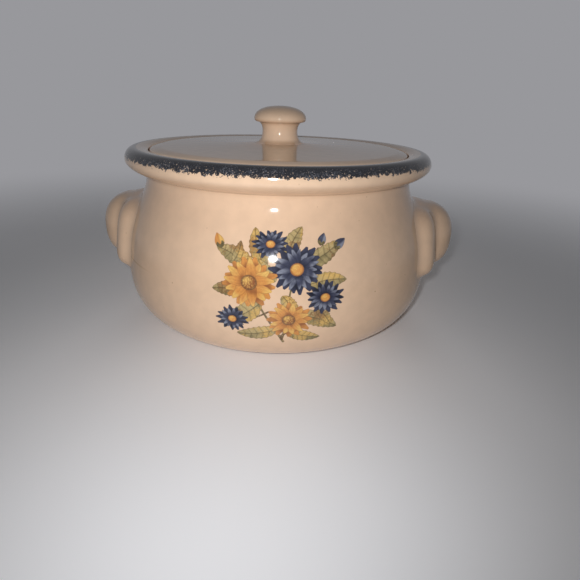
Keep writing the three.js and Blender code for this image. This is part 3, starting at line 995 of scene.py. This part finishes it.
def body_material(glaze):
    """Glaze with dark slip sponged over the rim's crest, a faint darker line round the belly's -X side and a
    bare foot.
    """
    material = bpy.data.materials.new("Body glaze")
    tree, shader, tone, rough, height = glaze_nodes(material, glaze)
    where = own_place(tree)
    axis = add(tree, "ShaderNodeSeparateXYZ", None, {0: where}).outputs
    # A faint darker line at a fixed height, fading in towards -X.
    line = calc(tree, "ABSOLUTE", calc(tree, "SUBTRACT", axis["Z"], DARK_LINE_HEIGHT))
    side = ramp(tree, axis["X"], *DARK_LINE_SIDE, 0.0, 0.6)
    dark_line = calc(tree, "MULTIPLY", ramp(tree, line, *DARK_LINE_EDGE), side)
    tone = shade(tree, dark_line, tone, rgba(glaze.pooled))
    tone, rough = bare_clay(tree, glaze, tone, rough)

    dab = noise(tree, where, 420.0, 2.0, 0.6)
    crumb = noise(tree, where, 1250.0, 2.0, 0.6)
    blot = noise(tree, where, 150.0, 2.0)
    dabbed = calc(tree, "MULTIPLY", calc(tree, "SUBTRACT", dab, 0.5), DAB_REACH)
    crumbled = calc(tree, "MULTIPLY", calc(tree, "SUBTRACT", crumb, 0.5), CRUMB_REACH)
    run = value_of(tree, "rim_run")
    outer = ramp(tree, calc(tree, "SUBTRACT", run, calc(tree, "ADD", dabbed, crumbled)), *BAND_OUTER)
    inner = ramp(tree, run, *BAND_INNER)
    open_share = calc(tree, "ADD", crumb, ramp(tree, run, *BAND_WEAR, -0.08, 0.03))
    gaps = ramp(tree, open_share, 0.66, 0.73, 1.0, 0.25)
    band = calc(tree, "MULTIPLY", calc(tree, "MULTIPLY", outer, inner), gaps)
    blotted = ramp(tree, blot, 0.38, 0.66, 0.15, 1.0)
    thin = calc(tree, "MULTIPLY", ramp(tree, open_share, 0.46, 0.66), blotted)
    slip = shade(tree, thin, rgba(glaze.slip), rgba(glaze.slip_light))
    tone = shade(tree, band, tone, slip)
    height = calc(tree, "ADD", height, calc(tree, "MULTIPLY", band, 0.25))
    close_material(tree, shader, tone, rough, height)
    return material


def plain_material(name, glaze, ripple=0.0):
    """Glaze alone, or with bare clay and faint turning rings: the sine of the radius over their spacing."""
    material = bpy.data.materials.new(name)
    tree, shader, tone, rough, height = glaze_nodes(material, glaze)
    if ripple:
        tone, rough = bare_clay(tree, glaze, tone, rough)
        where = own_place(tree)
        level = {0: where, 1: (1.0, 1.0, 0.0)}
        flat = add(tree, "ShaderNodeVectorMath", {"operation": "MULTIPLY"}, level).outputs[0]
        wander = calc(tree, "MULTIPLY", noise(tree, where, 40.0, 2.0), 4.0)
        phase = calc(tree, "ADD", calc(tree, "MULTIPLY", far_out(tree, flat), 2 * math.pi / ripple), wander)
        rings = calc(tree, "SINE", phase)
        height = calc(tree, "ADD", height, calc(tree, "MULTIPLY", rings, 0.15))
    close_material(tree, shader, tone, rough, height)
    return material


def print_material(glaze):
    """Fired-on print: paint over the same glaze, as much as the attribute `cover` says."""
    material = bpy.data.materials.new("Flower print")
    tree, shader, tone, rough, height = glaze_nodes(material, glaze)
    tone = shade(tree, value_of(tree, "cover"), tone, value_of(tree, "paint", "Color"))
    close_material(tree, shader, tone, rough, height)
    return material


def seen_rays(tree):
    """1 for rays from the camera and for mirror and glass rays, 0 for rays that light the object."""
    path = add(tree, "ShaderNodeLightPath").outputs
    return calc(tree, "MAXIMUM", path["Is Camera Ray"],
                calc(tree, "MAXIMUM", path["Is Glossy Ray"], path["Is Transmission Ray"]))


def floor_material(stage):
    """Pale floor with faint clouding, which fades into the plain background with distance."""
    material = bpy.data.materials.new("Studio floor")
    tree = empty_tree(material)
    where = own_place(tree)
    clouding = ramp(tree, noise(tree, where, 6.0, 2.0), 0.3, 0.7, 0.985, 1.015)
    tone = brightened(tree, rgba(stage.floor_colour), clouding)
    cloth = add(tree, "ShaderNodeBsdfPrincipled", None, {"Base Color": tone, "Roughness": 0.42})
    glow = add(tree, "ShaderNodeEmission", None, {"Color": rgba(stage.background), "Strength": 1.0})
    distant = ramp(tree, far_out(tree, where), stage.floor_near, stage.floor_far)
    fade = calc(tree, "MULTIPLY", distant, seen_rays(tree))
    both = add(tree, "ShaderNodeMixShader", None, {0: fade, 1: cloth.outputs[0], 2: glow.outputs[0]})
    out = add(tree, "ShaderNodeOutputMaterial")
    tree.links.new(both.outputs[0], out.inputs["Surface"])
    return material


# Operators.

def settle(piece, material, body, slot, *nodes):
    """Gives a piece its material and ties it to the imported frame."""
    piece.data.materials.append(material)
    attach(piece, body)
    if nodes:
        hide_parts(*nodes)


class BEANPOT_OT_body(bpy.types.Operator):
    """Turns the pot body and glazes it"""

    bl_idname = "bean_pot.body"
    bl_label = "Pot Body"

    def execute(self, context):
        settings = context.scene.bean_pot
        body = settings.body
        outline = softened(body_profile(body), body.softness)
        rows, along, hollow = rows_of(outline)
        points, faces, row = turned(rows, body.segments)
        crest = along[int(np.argmax(rows[:, 1]))]
        ledge = np.abs(rows[:, 1] - body.ledge_height) < LEDGE_NEAR
        bare = (rows[:, 1] < GROUND_NEAR) | (ledge & (rows[:, 0] < body.gallery_radius))
        piece = make_piece("pot_body_glazed", points, faces, {
            "pool_and_painted_light": hollow[row],
            "rim_run": (crest - along)[row],
            "bare": bare.astype(float)[row],
        })
        settle(piece, body_material(settings.glaze), "pot", "body_glaze", "pot_body")
        return {"FINISHED"}


class BEANPOT_OT_handles(bpy.types.Operator):
    """Shapes the two lug handles and blends them into the belly"""

    bl_idname = "bean_pot.handles"
    bl_label = "Lug Handles"

    def execute(self, context):
        settings = context.scene.bean_pot
        points, faces, pool_and_painted_light = lug_surface(settings.lug, settings.body)
        material = plain_material("Handle glaze", settings.glaze)
        for side, node, sign in (("right", "right_handle", 1), ("left", "left_handle", -1)):
            placed = points * np.array([sign, sign, 1])
            piece = make_piece(f"lug_{side}_glazed", placed, faces, {"pool_and_painted_light": pool_and_painted_light})
            settle(piece, material, "pot", "handle_glaze", node)
        return {"FINISHED"}


class BEANPOT_OT_lid(bpy.types.Operator):
    """Turns the lid"""

    bl_idname = "bean_pot.lid"
    bl_label = "Lid"

    def execute(self, context):
        settings = context.scene.bean_pot
        lid, ledge = settings.lid, settings.body.ledge_height
        rows, _, hollow = rows_of(softened(lid_profile(lid, ledge), settings.body.softness))
        points, faces, row = turned(rows, settings.body.segments)
        seat = (np.abs(rows[:, 1] - ledge) < SEAT_NEAR).astype(float)
        piece = make_piece("lid_glazed", points, faces, {"pool_and_painted_light": hollow[row], "bare": seat[row]})
        settle(piece, plain_material("Lid glaze", settings.glaze, lid.ripple), "lid", "lid_glaze", "lid")
        return {"FINISHED"}


class BEANPOT_OT_knob(bpy.types.Operator):
    """Turns the lid's knob"""

    bl_idname = "bean_pot.knob"
    bl_label = "Lid Knob"

    def execute(self, context):
        settings = context.scene.bean_pot
        lid = settings.lid
        rows, _, hollow = rows_of(softened(knob_profile(lid), settings.body.softness), KNOB_STEP)
        points, faces, row = turned(rows, settings.body.segments // 2)
        # Painted light: the stem below the cap is given the thin glaze's paler colour.
        below_cap = rows[:, 1] < KNOB_HIGH.z - (lid.cap_height + lid.cap_edge)
        stem = smooth_step(*STEM_LIT_SPAN, rows[:, 0] / lid.knob_waist) * below_cap
        pool_and_painted_light = np.minimum(hollow, -STEM_PAINTED_LIGHT * stem)
        piece = make_piece("knob_glazed", points, faces, {"pool_and_painted_light": pool_and_painted_light[row]})
        settle(piece, plain_material("Knob glaze", settings.glaze), "lid", "knob_glaze", "lid_knob")
        return {"FINISHED"}


class BEANPOT_OT_spray(bpy.types.Operator):
    """Prints a spray of garden flowers on the front of the belly"""

    bl_idname = "bean_pot.spray"
    bl_label = "Flower Spray"

    def execute(self, context):
        settings = context.scene.bean_pot
        points, faces, values = spray_surface(settings.spray, settings.body, settings.glaze.tan)
        values["pool_and_painted_light"] = np.zeros(len(points))
        piece = make_piece("flower_spray", points, faces, values)
        settle(piece, print_material(settings.glaze), "pot", "body_glaze")
        return {"FINISHED"}


class BEANPOT_OT_stage(bpy.types.Operator):
    """Lays the floor and sets the background, the lamps and the camera"""

    bl_idname = "bean_pot.stage"
    bl_label = "Studio Stage"

    def execute(self, context):
        scene = context.scene
        stage = scene.bean_pot.stage
        spacing = np.geomspace(FLOOR_CORE, stage.floor_radius, FLOOR_RINGS)
        ring = rings_of(np.stack([spacing, np.full(FLOOR_RINGS, -FLOOR_DROP)], 1), FLOOR_SIDES)
        faces = ring_faces(FLOOR_RINGS, FLOOR_SIDES, flipped=True)[:2]
        floor = make_piece("studio_floor", np.concatenate([[(0, 0, -FLOOR_DROP)], ring]), faces, {})
        floor.data.materials.append(floor_material(stage))

        world = bpy.data.worlds.new("Studio")
        tree = empty_tree(world)
        white = rgba((1.0, 1.0, 1.0))
        seen = add(tree, "ShaderNodeBackground", None, {"Color": rgba(stage.background), "Strength": 1.0})
        soft = add(tree, "ShaderNodeBackground", None, {"Color": white, "Strength": stage.fill})
        shares = {0: seen_rays(tree), 1: soft.outputs[0], 2: seen.outputs[0]}
        both = add(tree, "ShaderNodeMixShader", None, shares)
        out = add(tree, "ShaderNodeOutputWorld")
        tree.links.new(both.outputs[0], out.inputs["Surface"])
        scene.world = world

        for name, where, size, power, spread, mirrored in (
            ("front_lamp", stage.lamp_place, stage.lamp_size, stage.lamp_power, stage.lamp_spread, True),
            ("back_lamp", stage.back_place, stage.back_size, stage.back_power, math.pi, False),
        ):
            lamp = bpy.data.lights.new(name, "AREA")
            lamp.shape, lamp.size, lamp.energy, lamp.spread = "DISK", size, power, spread
            holder = bpy.data.objects.new(name, lamp)
            ahead = Vector(stage.lamp_aim) - Vector(where)
            holder.location = where
            holder.rotation_euler = ahead.to_track_quat("-Z", "Y").to_euler()
            holder.visible_camera = False
            holder.visible_glossy = mirrored
            scene.collection.objects.link(holder)

        lens = bpy.data.cameras.new("camera")
        lens.lens, lens.sensor_width, lens.sensor_fit = stage.lens, FRAME_WIDTH, "HORIZONTAL"
        lens.clip_start, lens.clip_end = CLIP
        camera = bpy.data.objects.new("camera", lens)
        ahead = (Vector(stage.camera_aim) - Vector(stage.camera_place)).normalized()
        right = ahead.cross(Vector((0, 0, 1))).normalized()
        up = right.cross(ahead)
        cos, sin = math.cos(stage.camera_roll), math.sin(stage.camera_roll)
        turned_right, turned_up = right * cos + up * sin, up * cos - right * sin
        axes = Matrix((turned_right, turned_up, -ahead)).transposed().to_4x4()
        camera.matrix_world = Matrix.Translation(stage.camera_place) @ axes
        scene.collection.objects.link(camera)
        scene.camera = camera
        scene.view_settings.view_transform = "Standard"
        return {"FINISHED"}


class BEANPOT_PT_panel(bpy.types.Panel):
    """Lists the pieces of the pot with their values"""

    bl_idname = "BEANPOT_PT_panel"
    bl_label = "Bean Pot"
    bl_space_type = "VIEW_3D"
    bl_region_type = "UI"
    bl_category = "Bean Pot"

    def draw(self, context):
        settings = context.scene.bean_pot
        for title, key in (("Body", "body"), ("Handles", "lug"), ("Lid and knob", "lid"), ("Spray", "spray"),
                           ("Glaze", "glaze"), ("Stage", "stage")):
            box = self.layout.box()
            box.label(text=title)
            group = getattr(settings, key)
            for name in group.__annotations__:
                box.prop(group, name)
        for maker in OPERATORS:
            self.layout.operator(maker.bl_idname)


OPERATORS = (
    BEANPOT_OT_body, BEANPOT_OT_handles, BEANPOT_OT_lid, BEANPOT_OT_knob, BEANPOT_OT_spray, BEANPOT_OT_stage,
)
CLASSES = (
    BodySizes, LugSizes, LidSizes, SpraySizes, GlazeColours, StageSettings, BeanPotSettings,
    *OPERATORS, BEANPOT_PT_panel,
)


def register():
    for kind in CLASSES:
        bpy.utils.register_class(kind)
    bpy.types.Scene.bean_pot = PointerProperty(type=BeanPotSettings)


def unregister():
    del bpy.types.Scene.bean_pot
    for kind in reversed(CLASSES):
        bpy.utils.unregister_class(kind)


def main():
    """Builds every piece in order."""
    register()
    bpy.ops.bean_pot.body()
    bpy.ops.bean_pot.handles()
    bpy.ops.bean_pot.lid()
    bpy.ops.bean_pot.knob()
    bpy.ops.bean_pot.spray()
    bpy.ops.bean_pot.stage()


if __name__ == "__main__":
    main()
